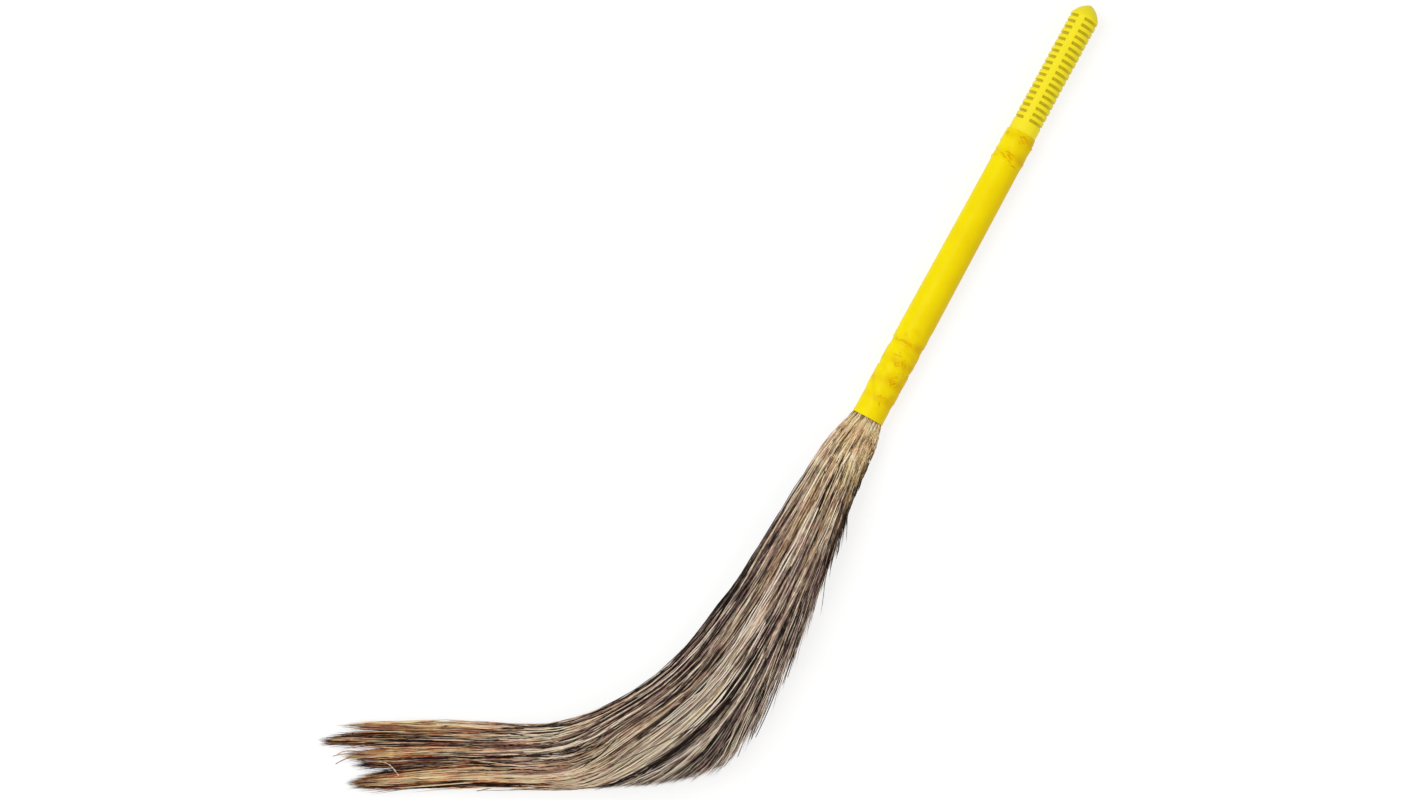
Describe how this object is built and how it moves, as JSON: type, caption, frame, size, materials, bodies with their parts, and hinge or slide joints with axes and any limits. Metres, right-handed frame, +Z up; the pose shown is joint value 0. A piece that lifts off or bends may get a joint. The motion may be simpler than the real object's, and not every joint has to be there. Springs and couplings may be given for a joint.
{
  "type": "hand broom",
  "caption": "Hand broom lying flat: a head of natural grass set to one side, bound into a tapered plastic handle with a shrunk film sleeve and a slotted, domed grip cap.",
  "frame": {"origin": "on the surface that the broom lies on, under the middle of its bounding box", "axes": "+Z up from the surface; the handle lies in the XY plane and points to +Y leaning 28.5 degrees to +X; the head is set towards -X"},
  "size_m": [0.7758, 0.786, 0.0465],
  "materials": {
    "grip_plastic": "yellow moulded polypropylene, satin",
    "pipe_plastic": "yellow extruded polypropylene",
    "sleeve_film": "bright yellow shrunk film, glossy, crinkled over the bindings",
    "twine": "twisted twine",
    "peg_wood": "bare whittled wood",
    "grass": "dry grass, straw to dark brown, golden at the tips"
  },
  "bodies": {
    "root": {"grip_cap": "grip_plastic", "handle_pipe": "pipe_plastic", "shrink_sleeve": "sleeve_film", "stem_peg": "peg_wood", "binding_twine_1": "twine", "binding_twine_2": "twine", "binding_twine_3": "twine", "binding_twine_4": "twine", "grass_bunch_1": "grass", "grass_bunch_2": "grass", "grass_bunch_3": "grass", "grass_bunch_4": "grass"}
  },
  "joints": []
}
